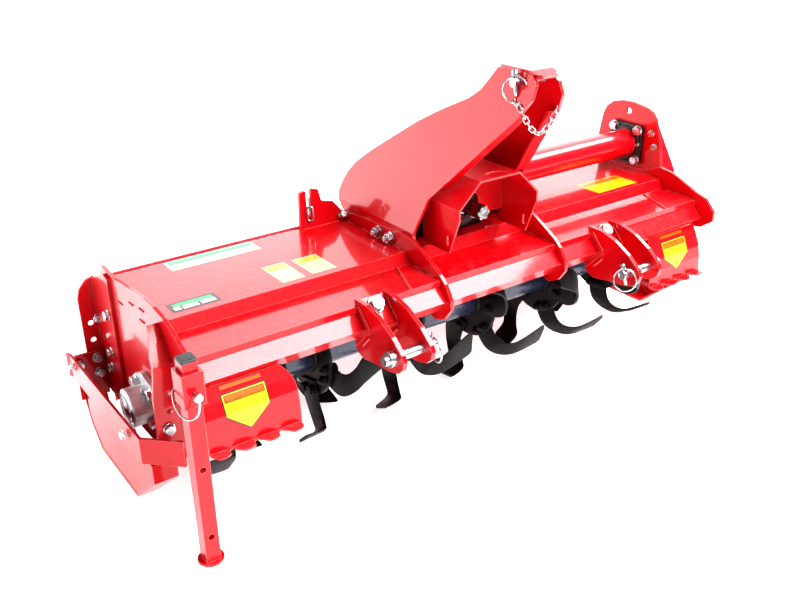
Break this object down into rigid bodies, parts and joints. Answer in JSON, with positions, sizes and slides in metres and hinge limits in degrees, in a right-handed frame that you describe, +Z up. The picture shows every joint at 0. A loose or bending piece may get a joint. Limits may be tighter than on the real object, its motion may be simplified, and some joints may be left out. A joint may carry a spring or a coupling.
{
  "type": "rotary tiller",
  "caption": "Tractor-driven rotary tiller with a three-point hitch mast, bladed rotor under a folded deck, skids and a parking leg.",
  "frame": {"origin": "on the ground under the middle of the bounding box, machine standing on its skids and parking leg", "axes": "+X across the machine towards the gear case, -Y towards the tractor, +Z up"},
  "size_m": [1.6678, 0.709, 0.8463],
  "materials": {
    "red_paint": "gloss powder coat",
    "dark_paint": "semi-gloss paint",
    "zinc_plate": "bright zinc plate",
    "cast_metal": "machined casting",
    "bare_steel": "machined"
  },
  "bodies": {
    "frame": {"deck": "red_paint", "front_beam": "red_paint", "side_plate_left": "red_paint", "side_plate_right": "red_paint", "rib_left": "red_paint", "rib_right": "red_paint", "mast_left": "red_paint", "mast_right": "red_paint", "mast_roof": "red_paint", "hitch_left": "red_paint", "hitch_right": "red_paint", "gearbox": "red_paint", "cross_tube": "red_paint", "drive_plate": "red_paint", "gear_case": "red_paint", "pto_guard": "red_paint", "shield_left": "red_paint", "shield_right": "red_paint", "chain_tab_left": "red_paint", "chain_tab_right": "red_paint", "leg_sleeve": "red_paint", "front_bracket_left": "red_paint", "front_bracket_right": "red_paint", "rear_bracket_left": "red_paint", "rear_bracket_right": "red_paint", "skid_left": "red_paint", "skid_right": "red_paint", "guard_strap": "red_paint", "top_pin": "zinc_plate", "lower_pin_left": "zinc_plate", "lower_pin_right": "zinc_plate", "hinge_rod": "zinc_plate", "bearing_housing": "cast_metal"},
    "rotor": {"rotor_tube": "dark_paint", "rotor_knives_1": "dark_paint", "rotor_knives_2": "dark_paint", "rotor_knives_3": "dark_paint", "rotor_knives_4": "dark_paint", "rotor_knives_5": "dark_paint", "rotor_knives_6": "dark_paint"},
    "gate": {"gate": "red_paint"},
    "pto_shaft": {"input_shaft": "bare_steel"},
    "parking_leg": {"parking_leg": "red_paint"}
  },
  "joints": [
    {"name": "rotor_spin", "type": "hinge", "parent": "frame", "child": "rotor", "pos_m": [-0.01859, 0.01751, 0.21], "axis": [1, 0, 0], "continuous": true},
    {"name": "input_spin", "type": "hinge", "parent": "frame", "child": "pto_shaft", "pos_m": [0.00941, -0.14049, 0.5], "axis": [0, 1, 0], "continuous": true},
    {"name": "gate_swing", "type": "hinge", "parent": "frame", "child": "gate", "pos_m": [-0.01859, 0.20751, 0.418], "axis": [1, 0, 0], "range_deg": [0, 55]},
    {"name": "leg_slide", "type": "slide", "parent": "frame", "child": "parking_leg", "axis": [0, 0, 1], "range_m": [0, 0.32]}
  ],
  "couplings": [
    {"joint": "input_spin", "follows": "rotor_spin", "ratio": 2.5}
  ]
}
